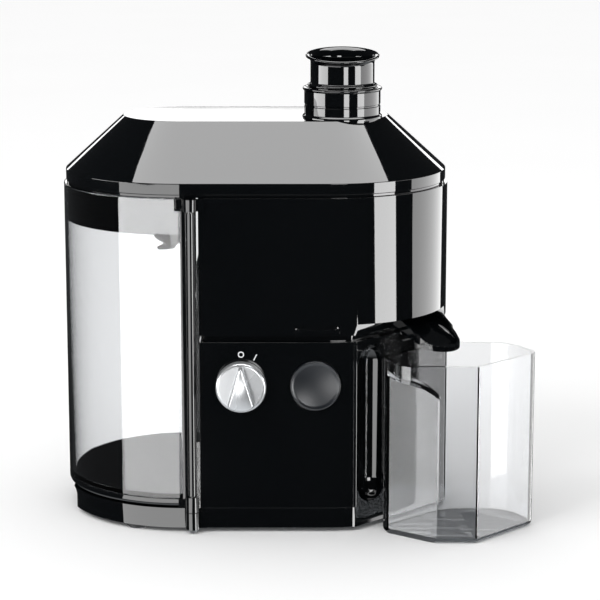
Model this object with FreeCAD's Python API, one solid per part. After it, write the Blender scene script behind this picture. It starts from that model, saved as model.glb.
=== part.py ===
import FreeCAD, Part
import math
import os

# Centrifugal juicer, in millimetres, +Z up. The front faces -Y and the jug stands at the right, +X.
# It is drawn about the middle of its stadium-shaped plan, then moved so that the middle of the
# whole object's footprint, jug included, is at X = Y = 0, with the feet on Z = 0.

V = FreeCAD.Vector
DIAG = math.sqrt(0.5)

# ---- driving dimensions ----------------------------------------------------------------------
END_R = 80.0         # radius of the body's two round ends, half its depth
END_X = 46.0         # their centres stand at X = -END_X and +END_X
WALL = 2.5           # moulded walls
GAP = 0.4            # clearance between neighbours on different bodies

FOOT_H = 3.0         # rubber feet below the base
BASE_TOP = 16.0      # top of the base, where the motor housing starts
TRAY_TOP = 22.0      # top of the pulp container's tray
DECK_TOP = 125.0     # top of the motor housing
BOWL_BOTTOM = 129.0  # underside of the juice collector
BOWL_TOP = 217.0     # top of the collector and of the pulp container
RIM_BOTTOM = 219.0   # the lid's upright rim
RIM_TOP = 226.0
LID_TOP = 260.5      # the lid's flat top
LID_INSET = 1.5      # the rim stands in from the body by this
LID_SLOPE = 38.0     # the flat top stands in from the rim by this, all round

BOWL_CHIN = 136.0    # below this the collector follows the housing's flat diagonal wall

SPLIT_X = -34.8      # left wall of the motor housing and the collector
DRUM_X = END_X       # the motor and the drum turn about this upright axis
CHORD = 68.6         # the housing's flat front-right wall, measured from the drum axis
JUG_PATH = V(DIAG, -DIAG, 0)

CHUTE = V(56.5, -14.4, 0)
CHUTE_R = 24.7
CHUTE_BORE = 21.2
SLEEVE_TOP = 280.0
PUSHER_R = 20.7
PUSHER_TOP = 301.0

PIN = V(-39.8, -82.0, 0)    # hinge of the swing-out pulp container
PIN_R = 1.5
KNUCKLE_R = 4.2
BARREL_R = 2.7
KNUCKLE_SPLIT = 14.2  # where the tray's knuckle meets the base's

KNOB = V(-8.3, -END_R, 97.0)
BUTTON = V(38.9, -END_R, 97.0)
DIAL_R = 16.0

SHAFT_R = 4.0
DRIVE_TEETH = 3      # on the motor's drive dog, and slots for them in the drum
BASKET_TOP = 199.0

NODES = {}


# ---- helpers ---------------------------------------------------------------------------------
def node(name):
    """Keeps what a builder returns under the node's name."""
    def keep(build):
        NODES[name] = build()
        return build
    return keep


def box(x0, x1, y0, y1, z0, z1):
    return Part.makeBox(x1 - x0, y1 - y0, z1 - z0, V(x0, y0, z0))


def post(r, z0, z1, x=DRUM_X, y=0.0):
    return Part.makeCylinder(r, z1 - z0, V(x, y, z0))


def ring(outer, inner, z0, z1, x=DRUM_X, y=0.0):
    return post(outer, z0, z1, x, y).cut(post(inner, z0 - 1, z1 + 1, x, y))


def rod(r, start, end):
    return Part.makeCylinder(r, (end - start).Length, start, end - start)


def turned(profile, x=DRUM_X, y=0.0):
    """A solid of revolution about the upright axis through x, y, from (radius, z) corners."""
    corners = [V(x + r, y, z) for r, z in profile]
    face = Part.Face(Part.makePolygon(corners + corners[:1]))
    return face.revolve(V(x, y, 0), V(0, 0, 1), 360)


def turned_y(profile, centre):
    """A solid of revolution about the Y line through centre, from (radius, y) corners."""
    corners = [V(centre.x + r, y, centre.z) for r, y in profile]
    face = Part.Face(Part.makePolygon(corners + corners[:1]))
    return face.revolve(centre, V(0, 1, 0), 360)


def stadium_wire(r, z):
    a, b = V(-END_X, -r, z), V(END_X, -r, z)
    c, d = V(END_X, r, z), V(-END_X, r, z)
    right = Part.Arc(b, V(END_X + r, 0, z), c).toShape()
    left = Part.Arc(d, V(-END_X - r, 0, z), a).toShape()
    return Part.Wire([Part.makeLine(a, b), right, Part.makeLine(c, d), left])


def stadium(r, z0, z1):
    return Part.Face(stadium_wire(r, z0)).extrude(V(0, 0, z1 - z0))


def tapered_stadium(r0, z0, r1, z1):
    return Part.makeLoft([stadium_wire(r0, z0), stadium_wire(r1, z1)], True, True)


def right_half(r, z0, z1, left):
    """The part of the stadium that lies right of X = left."""
    return stadium(r, z0, z1).common(box(left, 200, -100, 100, z0 - 1, z1 + 1))


def left_half(r, z0, z1, right):
    return stadium(r, z0, z1).common(box(-200, right, -100, 100, z0 - 1, z1 + 1))


def beyond_chord(distance, z0, z1):
    """Everything in front of the housing's flat diagonal wall."""
    block = box(distance, 200, -150, 150, z0 - 1, z1 + 1)
    block.rotate(V(0, 0, 0), V(0, 0, 1), -45)
    block.translate(V(DRUM_X, 0, 0))
    return block


def housing_block(inset, z0, z1):
    block = right_half(END_R - inset, z0, z1, SPLIT_X + inset)
    return block.cut(beyond_chord(CHORD - inset, z0, z1))


def scoop(r, z0, z1):
    """The upright finger scoop in the diagonal wall, next to the front panel."""
    along = 13.6
    corner = V(DRUM_X, 0, 0) + JUG_PATH * CHORD + V(-DIAG, -DIAG, 0) * 41.2
    centre = corner + V(DIAG, DIAG, 0) * along
    low, high = z0 + r, z1 - r
    shape = Part.makeCylinder(r, high - low, centre + V(0, 0, low))
    for z in (low, high):
        shape = shape.fuse(Part.makeSphere(r, centre + V(0, 0, z)))
    return shape


def joined(first, *rest):
    """One solid from several touching solids."""
    return first.fuse(list(rest)).removeSplitter()


def spaced(count, start=0.0):
    """Directions evenly round the circle, as (cosine, sine, degrees)."""
    for i in range(count):
        degrees = start + 360.0 * i / count
        yield math.cos(math.radians(degrees)), math.sin(math.radians(degrees)), degrees


def round_drum_axis(shape, degrees):
    """Turns a shape drawn along +X about the origin, and sets it at the drum's axis."""
    shape.rotate(V(0, 0, 0), V(0, 0, 1), degrees)
    shape.translate(V(DRUM_X, 0, 0))
    return shape


def round_edges(shape, radius, chosen):
    """Rounds the edges for which chosen(edge) is true."""
    return shape.makeFillet(radius, [e for e in shape.Edges if chosen(e)])


def is_level(edge, z):
    """Whether an edge lies flat at a height."""
    return abs(edge.BoundBox.ZMin - z) < 0.01 and abs(edge.BoundBox.ZMax - z) < 0.01


# ---- base and feet ---------------------------------------------------------------------------
FEET = [(-76.0, -66.0), (-76.0, 60.0), (22.0, -66.0), (60.0, 64.0), (106.0, -4.0)]
FOOT_R = 7.0
BASE_SCREWS = [(-27.6, -60.0), (-27.6, 60.0), (92.0, 48.0), (30.0, -54.0)]
SCREW_R = 1.9
SCREW_HEAD_R = 3.2
SCREW_LOW, SCREW_TOP = 3.6, 30.0
VENT_SLOTS = 16      # in the base, under the motor
LEFT_CUT = -118.5    # the base's left end is cut flat here, under the round tray


@node("base_plate")
def base_plate():
    right = housing_block(0, FOOT_H, BASE_TOP)
    left = left_half(END_R, FOOT_H, BASE_TOP, SPLIT_X)
    undercut = box(-200, LEFT_CUT, -100, 100, 0, 11)
    undercut = undercut.fuse(rod(6.5, V(-125, -100, 11), V(-125, 100, 11)))
    left = left.cut(undercut)
    base = joined(left, right)
    hollow = housing_block(WALL, FOOT_H + WALL, BASE_TOP + 1)
    base = base.cut(hollow)
    base = base.cut(left_half(END_R - 14, FOOT_H + WALL, BASE_TOP - WALL, SPLIT_X + 4))
    for _, _, degrees in spaced(VENT_SLOTS, 11.25):
        base = base.cut(round_drum_axis(box(20, 40, -1.6, 1.6, 0, FOOT_H + WALL + 1), degrees))
    for x, y in FEET:
        base = base.cut(post(FOOT_R - 1, FOOT_H - 1, FOOT_H + 1.5, x, y))
    for x, y in BASE_SCREWS:
        boss = post(4.5, FOOT_H + WALL, BASE_TOP, x, y)
        base = base.fuse(boss).cut(post(SCREW_R, 0, BASE_TOP + 1, x, y))
        base = base.cut(post(SCREW_HEAD_R + 0.4, 0, FOOT_H + 3.0, x, y))
    top = KNUCKLE_SPLIT - 0.2
    knuckle = turned([(0, 1.0), (KNUCKLE_R - 1.6, 1.0), (KNUCKLE_R, 2.8), (KNUCKLE_R, top), (0, top)],
                     PIN.x, PIN.y)
    arm = box(PIN.x + 1, PIN.x + 9, -END_R - 0.8, -END_R + 1.5, FOOT_H, top)
    base = joined(base, knuckle, arm)
    base = base.cut(post(KNUCKLE_R + 0.5, top, BASE_TOP + 1, PIN.x, PIN.y))
    return base.cut(post(PIN_R, 4, 20, PIN.x, PIN.y))


@node("foot_pads")
def foot_pads():
    pads = []
    for x, y in FEET:
        pads.append(turned([(0, 0), (FOOT_R - 1, 0), (FOOT_R, 1), (FOOT_R, FOOT_H),
                            (FOOT_R - 1, FOOT_H), (FOOT_R - 1, FOOT_H + 1.5), (0, FOOT_H + 1.5)], x, y))
    return Part.makeCompound(pads)


@node("base_screws")
def base_screws():
    screws = []
    for x, y in BASE_SCREWS:
        under = FOOT_H + 3.0
        screw = turned([(0, SCREW_LOW), (SCREW_HEAD_R, SCREW_LOW), (SCREW_HEAD_R, under), (SCREW_R, under),
                        (SCREW_R, SCREW_TOP), (0, SCREW_TOP)], x, y)
        slot = box(x - 2.2, x + 2.2, y - 0.4, y + 0.4, 3, SCREW_LOW + 1)
        cross = box(x - 0.4, x + 0.4, y - 2.2, y + 2.2, 3, SCREW_LOW + 1)
        screws.append(screw.cut(slot).cut(cross))
    return Part.makeCompound(screws)


# ---- motor housing and front panel -----------------------------------------------------------
SHAFT_HOLE = 11.0
CORD_X, CORD_Z = 78.0, 32.0    # where the supply cord leaves, at the back
SCREW_BOSS_R = 5.0
SCOOP_R = 13.5
SCOOP_LOW, SCOOP_HIGH = 17.5, 121.0
PANEL_RIGHT = 63.4   # where the front panel ends, just short of the diagonal wall
REAR_VENTS = 7
BUTTON_ROOM = 5.6    # depth kept free behind the panel's face for the pressed button


def panel_zone(z0, z1):
    """The space of the flat front panel."""
    return box(SPLIT_X - 1, PANEL_RIGHT, -100, -END_R + WALL + 0.2, z0, z1)


@node("motor_housing")
def motor_housing():
    shell = housing_block(0, BASE_TOP, DECK_TOP)
    shell = shell.cut(housing_block(WALL, BASE_TOP - 1, DECK_TOP - 3))
    niche = scoop(SCOOP_R + WALL, SCOOP_LOW - WALL, SCOOP_HIGH + WALL)
    niche = niche.common(housing_block(0, BASE_TOP, DECK_TOP))
    shell = shell.fuse(niche).cut(scoop(SCOOP_R, SCOOP_LOW, SCOOP_HIGH))
    shell = shell.cut(panel_zone(BASE_TOP - 1, DECK_TOP + 1))
    shell = shell.cut(rod(DIAL_R + GAP, BUTTON, BUTTON + V(0, BUTTON_ROOM, 0)))
    step = housing_block(3.0, DECK_TOP, BOWL_BOTTOM - GAP).cut(panel_zone(0, 200))
    step = step.cut(housing_block(6.0, DECK_TOP - 1, BOWL_BOTTOM + 1))
    shell = shell.fuse(step)
    shell = shell.fuse(ring(SHAFT_HOLE + 2.2, SHAFT_HOLE, DECK_TOP - 3, 141))
    shell = shell.cut(post(SHAFT_HOLE, 100, 150))
    for x, y in BASE_SCREWS:
        shell = shell.fuse(post(SCREW_BOSS_R, BASE_TOP, DECK_TOP - 2, x, y))
        shell = shell.cut(post(SCREW_R, BASE_TOP - 1, SCREW_TOP + 4, x, y))
    shell = shell.cut(rod(6.0, V(CORD_X, 60, CORD_Z), V(CORD_X, 95, CORD_Z)))
    for i in range(REAR_VENTS):
        x = -8 + 9.0 * i
        shell = shell.cut(box(x, x + 4, 70, 90, 46, 86))
    return shell.removeSplitter()


@node("front_panel")
def front_panel():
    panel = housing_block(0, BASE_TOP, DECK_TOP).cut(housing_block(WALL, 0, 200))
    panel = panel.common(panel_zone(BASE_TOP, DECK_TOP))
    panel = panel.cut(scoop(SCOOP_R + 0.2, SCOOP_LOW - 0.2, SCOOP_HIGH + 0.2))
    front = -END_R - 1
    panel = panel.cut(rod(5.0, V(KNOB.x, front, KNOB.z), V(KNOB.x, front + 9, KNOB.z)))
    panel = panel.cut(rod(DIAL_R + GAP, V(BUTTON.x, front, BUTTON.z), V(BUTTON.x, front + 9, BUTTON.z)))
    return max(panel.Solids, key=lambda s: s.Volume)


@node("dial_marks")
def dial_marks():
    """The raised ring and stroke above the knob: off and on."""
    y = -END_R - 0.25
    centre = V(KNOB.x, y, KNOB.z + 20.2)
    off = rod(2.0, centre, centre + V(0, 0.25, 0)).cut(rod(1.3, centre, centre + V(0, 0.25, 0)))
    stroke = box(-0.35, 0.35, y, y + 0.25, -2.1, 2.1)
    stroke.rotate(V(0, 0, 0), V(0, 1, 0), 27)
    stroke.translate(V(KNOB.x + 9.0, 0, KNOB.z + 18.4))
    return Part.makeCompound([off, stroke])


@node("cord_gland")
def cord_gland():
    inside, outside = 64.0, 79.5
    body = rod(5.9, V(CORD_X, inside, CORD_Z), V(CORD_X, outside, CORD_Z))
    flange = rod(7.6, V(CORD_X, inside, CORD_Z), V(CORD_X, inside + 2.4, CORD_Z))
    return joined(body, flange).cut(rod(3.6, V(CORD_X, inside - 1, CORD_Z), V(CORD_X, outside + 1, CORD_Z)))


# ---- motor -----------------------------------------------------------------------------------
STATOR_LOW, STATOR_HIGH = 50.0, 84.0
STATOR_HALF = 31.0
BORE_R = 18.0
ROTOR_R = 17.5
POST_R = 3.0
FAN_BLADES = 10
ROTOR_SLOTS = 12
COMMUTATOR_BARS = 24
POSTS = [(DRUM_X + sx * 25.5, sy * 25.5) for sx in (-1, 1) for sy in (-1, 1)]


@node("motor_stator")
def motor_stator():
    block = box(DRUM_X - STATOR_HALF, DRUM_X + STATOR_HALF, -STATOR_HALF, STATOR_HALF,
                STATOR_LOW, STATOR_HIGH)
    block = block.cut(post(BORE_R, 0, 200))
    for side in (-1, 1):
        for end in (-1, 1):
            x = DRUM_X + side * 14.0
            block = block.cut(box(x - 5.5, x + 5.5, end * 19.0 - 4.5, end * 19.0 + 4.5, 40, 100))
    for x, y in POSTS:
        block = block.cut(post(POST_R - 1, 0, 200, x, y))
    return block


@node("field_coils")
def field_coils():
    coils = []
    for end in (-1, 1):
        outer = box(DRUM_X - 19, DRUM_X + 19, end * 19.0 - 4.0, end * 19.0 + 4.0, 43, 91)
        inner = box(DRUM_X - 9.0, DRUM_X + 9.0, -40, 40, STATOR_LOW - 0.2, STATOR_HIGH + 0.2)
        coils.append(outer.cut(inner).cut(post(BORE_R + 0.4, 30, 100)))
    return Part.makeCompound(coils)


@node("lower_motor_bracket")
def lower_motor_bracket():
    bar = box(DRUM_X - 31, DRUM_X + 31, -10, 10, 25, 29)
    cross = box(DRUM_X - 10, DRUM_X + 10, -31, 31, 25, 29)
    bracket = joined(bar, cross, ring(36, 25, 25, 29), post(11, 20, 31.5))
    for x, y in POSTS:
        bracket = bracket.fuse(post(5, 25, STATOR_LOW, x, y)).cut(post(POST_R - 1, 10, 60, x, y))
    return bracket.cut(post(7.0, 0, 40)).removeSplitter()


@node("upper_motor_bracket")
def upper_motor_bracket():
    bar = box(DRUM_X - 31, DRUM_X + 31, -8, 8, 104, 108)
    cross = box(DRUM_X - 8, DRUM_X + 8, -31, 31, 104, 108)
    bracket = joined(bar, cross, ring(38, 30, 104, 108), post(11, 102, 114))
    for x, y in POSTS:
        bracket = bracket.fuse(post(5, STATOR_HIGH, 108, x, y)).cut(post(POST_R - 1, 60, 120, x, y))
    return bracket.cut(post(7.0, 90, 120)).removeSplitter()


def bush(z0, z1):
    return ring(7.0, SHAFT_R + 0.05, z0, z1)


@node("lower_bush")
def lower_bush():
    return bush(21, 31.5)


@node("upper_bush")
def upper_bush():
    return bush(102.5, 113.5)


@node("motor_bolts")
def motor_bolts():
    bolts = []
    for x, y in POSTS:
        bolts.append(turned([(0, 27), (POST_R - 1, 27), (POST_R - 1, 108), (3.6, 108), (3.6, 111),
                             (0, 111)], x, y))
    return Part.makeCompound(bolts)


@node("rubber_mounts")
def rubber_mounts():
    """Four rubber buffers between the base and the motor's lower bracket."""
    pads = []
    for sx in (-1, 1):
        pads.append(post(5, FOOT_H + WALL, 25, DRUM_X + sx * 27.0, 0))
        pads.append(post(5, FOOT_H + WALL, 25, DRUM_X, sx * 27.0))
    return Part.makeCompound(pads)


@node("brush_holders")
def brush_holders():
    holders = []
    for side in (-1, 1):
        x0, x1 = sorted((DRUM_X + side * 13.0, DRUM_X + side * 30.0))
        block = box(x0, x1, -5, 5, 91.5, 104)
        holders.append(block.cut(box(x0 - 1, x1 + 1, -3, 3, 94, 100)))
    return Part.makeCompound(holders)


@node("carbon_brushes")
def carbon_brushes():
    brushes = []
    for side in (-1, 1):
        x0, x1 = sorted((DRUM_X + side * 11.3, DRUM_X + side * 22.0))
        brushes.append(box(x0, x1, -2.9, 2.9, 94.1, 99.9))
    return Part.makeCompound(brushes)


@node("suppression_capacitor")
def suppression_capacitor():
    can = box(-18, 2, 20, 34, FOOT_H + WALL, BASE_TOP + 14)
    legs = box(-17, -15, 26, 28, BASE_TOP + 14, BASE_TOP + 18)
    return joined(can, legs, box(-1, 1, 26, 28, BASE_TOP + 14, BASE_TOP + 18))


# ---- rotor: shaft, fan, armature and drive dog -----------------------------------------------
@node("motor_shaft")
def motor_shaft():
    return turned([(0, 19), (3.4, 19), (SHAFT_R, 19.6), (SHAFT_R, 152.5), (3.0, 153.5), (0, 153.5)])


@node("cooling_fan")
def cooling_fan():
    fan = joined(ring(8, SHAFT_R, 32.4, 42.4), ring(24, SHAFT_R, 40.6, 42.4))
    for _, _, degrees in spaced(FAN_BLADES):
        fan = fan.fuse(round_drum_axis(box(7, 23.5, -0.7, 0.7, 32.9, 41.0), degrees))
    return fan.removeSplitter()


@node("rotor_core")
def rotor_core():
    core = ring(ROTOR_R, SHAFT_R, 51, 83)
    for c, s, degrees in spaced(ROTOR_SLOTS, 15):
        core = core.cut(post(2.0, 40, 95, DRUM_X + 14.2 * c, 14.2 * s))
        core = core.cut(round_drum_axis(box(14.0, 19.0, -0.8, 0.8, 40, 95), degrees))
    return core


@node("rotor_windings")
def rotor_windings():
    ends = []
    ends.append(turned([(SHAFT_R, 46), (13, 46), (16, 48), (16, 51), (SHAFT_R, 51)]))
    ends.append(turned([(SHAFT_R, 83), (16, 83), (16, 86), (12.5, 88.5), (SHAFT_R, 88.5)]))
    return Part.makeCompound(ends)


@node("commutator")
def commutator():
    body = ring(11.0, SHAFT_R, 90, 101)
    for _, _, degrees in spaced(COMMUTATOR_BARS):
        body = body.cut(round_drum_axis(box(10.2, 12, -0.3, 0.3, 89, 102), degrees))
    return body


@node("shaft_seal")
def shaft_seal():
    """Rubber lip seal that keeps juice off the motor, held in the housing's drive collar."""
    return turned([(SHAFT_R + 0.08, 130), (6, 132.5), (SHAFT_HOLE, 132.5), (SHAFT_HOLE, 138),
                   (8.5, 138), (8.5, 134.5), (5.5, 134.5), (SHAFT_R + 0.08, 132)])


@node("drive_coupling")
def drive_coupling():
    dog = ring(8.0, SHAFT_R, 143.0, 152.5)
    for _, _, degrees in spaced(DRIVE_TEETH):
        dog = dog.fuse(round_drum_axis(box(6.0, 10.4, -2.0, 2.0, 143.0, 151.0), degrees))
    return dog.removeSplitter()


# ---- drum: hub, grater, sieve and rim --------------------------------------------------------
SIEVE_LOW, SIEVE_HIGH = 157.0, 195.0
SIEVE_R0, SIEVE_R1 = 48.0, 60.0
SIEVE_T = 0.8
SIEVE_ROWS, SIEVE_HOLES = 5, 24


@node("basket_hub")
def basket_hub():
    """The drum's moulded floor: a skirted hub that drops over the drive dog."""
    wall = SIEVE_R0 + 0.1
    hub = turned([(18.2, 139), (20.4, 139), (21.5, 152.6), (wall + 2.4, 152.6), (wall + 2.4, 159),
                  (wall + 0.8, 159), (wall, SIEVE_LOW), (wall, 155.6), (0, 155.6), (0, 153.5), (17, 153.5)])
    socket = ring(12.6, 8.2, 143.2, 154)
    for _, _, degrees in spaced(DRIVE_TEETH):
        socket = socket.cut(round_drum_axis(box(5.8, 10.7, -2.3, 2.3, 140, 151.2), degrees))
    return joined(hub, socket)


@node("grater_disc")
def grater_disc():
    """Flat steel disc with rows of sharp pyramid teeth."""
    disc = post(47.0, 155.6, 156.8)
    teeth = []
    for row in range(4):
        radius = 14.0 + 9.0 * row
        for c, s, degrees in spaced(8 + 5 * row, 9.0 * row):
            tooth = Part.makeWedge(-1.4, 0, -1.4, -0.2, -0.2, 1.4, 2.2, 1.4, 0.2, 0.2)
            tooth.rotate(V(0, 0, 0), V(1, 0, 0), 90)
            tooth.rotate(V(0, 0, 0), V(0, 0, 1), degrees)
            tooth.translate(V(DRUM_X + radius * c, radius * s, 156.7))
            teeth.append(tooth)
    return disc.fuse(teeth)


@node("basket_sieve")
def basket_sieve():
    """Cone of thin sheet, pierced all over. The real sheet has many finer holes."""
    sieve = turned([(SIEVE_R0 - SIEVE_T, SIEVE_LOW), (SIEVE_R0, SIEVE_LOW), (SIEVE_R1, SIEVE_HIGH),
                    (SIEVE_R1 - SIEVE_T, SIEVE_HIGH)])
    holes = []
    for row in range(SIEVE_ROWS):
        z = 164.5 + 6.2 * row
        for c, s, _ in spaced(SIEVE_HOLES, 7.5 * (row % 2)):
            centre = V(DRUM_X, 0, z)
            holes.append(rod(1.4, centre + V(44 * c, 44 * s, 0), centre + V(64 * c, 64 * s, 0)))
    return sieve.cut(holes)


@node("basket_rim")
def basket_rim():
    return turned([(SIEVE_R1 - 3.2, SIEVE_HIGH), (SIEVE_R1 + 1.4, SIEVE_HIGH), (SIEVE_R1 + 3.4, 196.6),
                   (SIEVE_R1 + 3.4, 198.2), (SIEVE_R1 + 2.4, BASKET_TOP), (SIEVE_R1 - 3.2, BASKET_TOP)])


# ---- juice collector and spout ---------------------------------------------------------------
RING_R = 66.5
WINDOW_Y = 56.0
WINDOW_LOW, WINDOW_HIGH = 163.0, 213.0
SPOUT_SHIFT = V(DIAG, DIAG, 0) * 12.0    # the trough runs beside the drum axis, on its right
SPOUT_LIP = 86.0                         # centre of the round lip, along the trough
SPOUT_T = 1.8


def spout_point(along, side, z):
    """A point in the trough's own directions: along it, across it and up."""
    return V(DRUM_X, 0, z) + SPOUT_SHIFT + JUG_PATH * along + V(DIAG, DIAG, 0) * side


def spout_body(grow, lift):
    """A U-section that leaves the collector and slopes down to its lip."""
    # distance along, half width, height of the U's bottom, height of its open top
    stations = [(62.0, 18.5, 131.8, BOWL_CHIN), (76.0, 17.5, 126.5, 134.0), (94.0, 16.2, 119.2, 121.6),
                (104.0, 15.5, 117.4, 118.4)]
    wires = []
    for along, half, low, high in stations:
        a = half + grow
        bottom = low - grow
        top = high + lift
        bend = 3.5
        k = bend * (1 - DIAG)
        left = Part.Arc(spout_point(along, -a, bottom + bend), spout_point(along, k - a, bottom + k),
                        spout_point(along, bend - a, bottom)).toShape()
        right = Part.Arc(spout_point(along, a - bend, bottom), spout_point(along, a - k, bottom + k),
                         spout_point(along, a, bottom + bend)).toShape()
        corners = [spout_point(along, a, bottom + bend), spout_point(along, a, top),
                   spout_point(along, -a, top), spout_point(along, -a, bottom + bend)]
        rim = [Part.makeLine(corners[i], corners[i + 1]) for i in range(3)]
        floor = Part.makeLine(spout_point(along, bend - a, bottom), spout_point(along, a - bend, bottom))
        wires.append(Part.Wire([left, floor, right] + rim))
    return Part.makeLoft(wires, True, True)


def spout_lip(r):
    """Keeps the trough inside a rounded end."""
    keep = Part.makeCylinder(r, 80, spout_point(SPOUT_LIP, 0, 90))
    block = box(40, SPOUT_LIP, -40, 40, 90, 170)
    block.rotate(V(0, 0, 0), V(0, 0, 1), -45)
    block.translate(V(DRUM_X, 0, 0) + SPOUT_SHIFT)
    return keep.fuse(block)


def spout_window():
    """The opening in the collector's walls that the trough passes through."""
    return spout_body(SPOUT_T, 0.0)


@node("juice_spout")
def juice_spout():
    outer = spout_body(SPOUT_T, 0.0).common(spout_lip(16.8))
    inner = spout_body(0.0, 20.0).common(spout_lip(16.8 - SPOUT_T))
    return outer.cut(inner).cut(post(RING_R, 100, 200))


TAB_LEFT, TAB_RIGHT = 26.0, 54.0   # the latch tab in the collector's lower edge
TAB_TOP = 135.0
TAB_ROOM = 5.4                     # how far behind the wall's outside the collector is cut for the tab


@node("juice_collector")
def juice_collector():
    outer = right_half(END_R, BOWL_CHIN, BOWL_TOP, SPLIT_X).fuse(housing_block(0, BOWL_BOTTOM, BOWL_CHIN))
    inner = right_half(END_R - WALL, BOWL_CHIN + WALL, BOWL_TOP + 1, SPLIT_X + WALL)
    bowl = outer.cut(inner).cut(housing_block(WALL, BOWL_BOTTOM + WALL, BOWL_CHIN + WALL + 1))
    # circular juice channel round the drum, and the pulp shelf beside it
    channel = ring(RING_R + 2.0, RING_R, BOWL_BOTTOM, 186.0)
    shelf = right_half(END_R - WALL / 2, WINDOW_LOW - WALL, WINDOW_LOW, SPLIT_X + WALL / 2)
    shelf = shelf.cut(post(RING_R, 0, 300)).common(box(SPLIT_X, 0, -100, 100, 0, 300))
    collar = ring(16.4, 14.0, BOWL_BOTTOM, 147)
    bowl = joined(bowl, channel.common(outer), shelf, collar)
    bowl = bowl.cut(post(14.0, 100, 160))
    bowl = bowl.cut(box(SPLIT_X - 1, SPLIT_X + WALL + 1, -WINDOW_Y, WINDOW_Y, WINDOW_LOW, WINDOW_HIGH))
    bowl = bowl.cut(box(SPLIT_X + WALL, 0, -WINDOW_Y, WINDOW_Y, WINDOW_LOW, 190))
    bowl = bowl.cut(spout_window())
    tab_hole = box(TAB_LEFT - GAP, TAB_RIGHT + GAP, -END_R - 1, -END_R + TAB_ROOM, BOWL_BOTTOM - 1,
                   TAB_TOP + GAP)
    return bowl.cut(tab_hole)


@node("hinge_top_bracket")
def hinge_top_bracket():
    knuckle = post(KNUCKLE_R, 209.2, BOWL_TOP, PIN.x, PIN.y)
    arm = box(PIN.x + 1.0, PIN.x + 9.0, -END_R - 1.6, -END_R, 209.2, BOWL_TOP)
    return joined(knuckle, arm).cut(post(PIN_R, 200, 215, PIN.x, PIN.y))


@node("hinge_pin")
def hinge_pin():
    return post(PIN_R, 4, 215, PIN.x, PIN.y)


@node("latch_tab")
def latch_tab():
    """Sprung catch that lets the collector off the motor housing."""
    tab = box(TAB_LEFT, TAB_RIGHT, -END_R, -END_R + 2.0, BOWL_BOTTOM + 0.1, TAB_TOP)
    tab = round_edges(tab, 1.8, lambda e: abs(e.BoundBox.ZMin - TAB_TOP) < 0.01
                      and e.BoundBox.YLength > 1.9 and e.BoundBox.XLength < 0.1)
    rib = box(TAB_LEFT + 2, TAB_RIGHT - 2, -END_R - 0.8, -END_R, 131.2, 133.2)
    stem = box(37, 43, -END_R + 2.0, -END_R + 5.0, 131.9, 134)
    return joined(tab, rib, stem)


# ---- pulp container, its tray, collar and hinge strip ----------------------------------------
CONTAINER_RIGHT = SPLIT_X - 2.2
STRIP_LEFT = CONTAINER_RIGHT - 9.0
COLLAR_LOW = 193.5


@node("pulp_container")
def pulp_container():
    outer = left_half(END_R, TRAY_TOP, BOWL_TOP, CONTAINER_RIGHT)
    inner = left_half(END_R - WALL, TRAY_TOP + WALL, BOWL_TOP + 1, CONTAINER_RIGHT - WALL)
    shell = outer.cut(inner)
    window = box(CONTAINER_RIGHT - WALL - 1, CONTAINER_RIGHT + 1, -WINDOW_Y, WINDOW_Y,
                 WINDOW_LOW, WINDOW_HIGH)
    corner = box(STRIP_LEFT, CONTAINER_RIGHT + 1, -END_R - 1, -END_R + 3.4, TRAY_TOP - 1, BOWL_TOP + 1)
    return shell.cut(window).cut(corner)


@node("container_hinge_strip")
def container_hinge_strip():
    """Upright strip down the container's front corner, with the barrel that turns on the pin."""
    strip = box(STRIP_LEFT, CONTAINER_RIGHT, -END_R, -END_R + 3.4, TRAY_TOP, BOWL_TOP)
    barrel = post(BARREL_R, TRAY_TOP + 2.8, 208.6, PIN.x, PIN.y)
    strip = joined(strip, barrel)
    left = CONTAINER_RIGHT - 12.6
    tab = box(left, left + 6.0, -END_R - 1.4, -END_R, 209.3, BOWL_TOP)
    tab = tab.cut(box(left + 1, left + 5.0, -END_R - 3, -END_R - 0.5, 210.6, BOWL_TOP + 1))
    strip = joined(strip, tab)
    strip = strip.cut(post(KNUCKLE_R + GAP, 208.6, 230, PIN.x, PIN.y))
    strip = strip.cut(post(KNUCKLE_R + 0.01, 0, TRAY_TOP + 2.4, PIN.x, PIN.y))
    return strip.cut(post(PIN_R + 0.08, 0, 300, PIN.x, PIN.y))


@node("container_tray")
def container_tray():
    tray = left_half(END_R, BASE_TOP + GAP, TRAY_TOP, CONTAINER_RIGHT)
    tray = round_edges(tray, 3.0, lambda e: is_level(e, BASE_TOP + GAP) and e.BoundBox.XLength > END_X)
    knuckle = post(KNUCKLE_R, KNUCKLE_SPLIT + 0.2, TRAY_TOP + 2.4, PIN.x, PIN.y)
    arm = box(PIN.x - 9, PIN.x, -END_R - 1.0, -END_R + 2, BASE_TOP + GAP, TRAY_TOP)
    tray = joined(tray, knuckle, arm)
    return tray.cut(post(PIN_R + 0.08, 0, 300, PIN.x, PIN.y))


@node("container_collar")
def container_collar():
    """Splash collar inside the container's mouth, with a hooked drip lip by the hinge."""
    outer_r = END_R - WALL
    right = STRIP_LEFT - 0.2
    collar = left_half(outer_r, COLLAR_LOW, BOWL_TOP, right)
    collar = collar.cut(left_half(outer_r - 1.6, COLLAR_LOW - 2, BOWL_TOP + 1, CONTAINER_RIGHT))
    points = [V(-62, 0, 195), V(-62, 0, 192), V(-56, 0, 188.5), V(-60, 0, 186.5), V(-60, 0, 184),
              V(-50, 0, 185), V(right, 0, 190), V(right, 0, 195)]
    lip = Part.Face(Part.makePolygon(points + points[:1])).extrude(V(0, 1.6, 0))
    lip.translate(V(0, -outer_r, 0))
    return joined(collar, lip.common(left_half(outer_r, 180, COLLAR_LOW + 2, right)))


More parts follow.
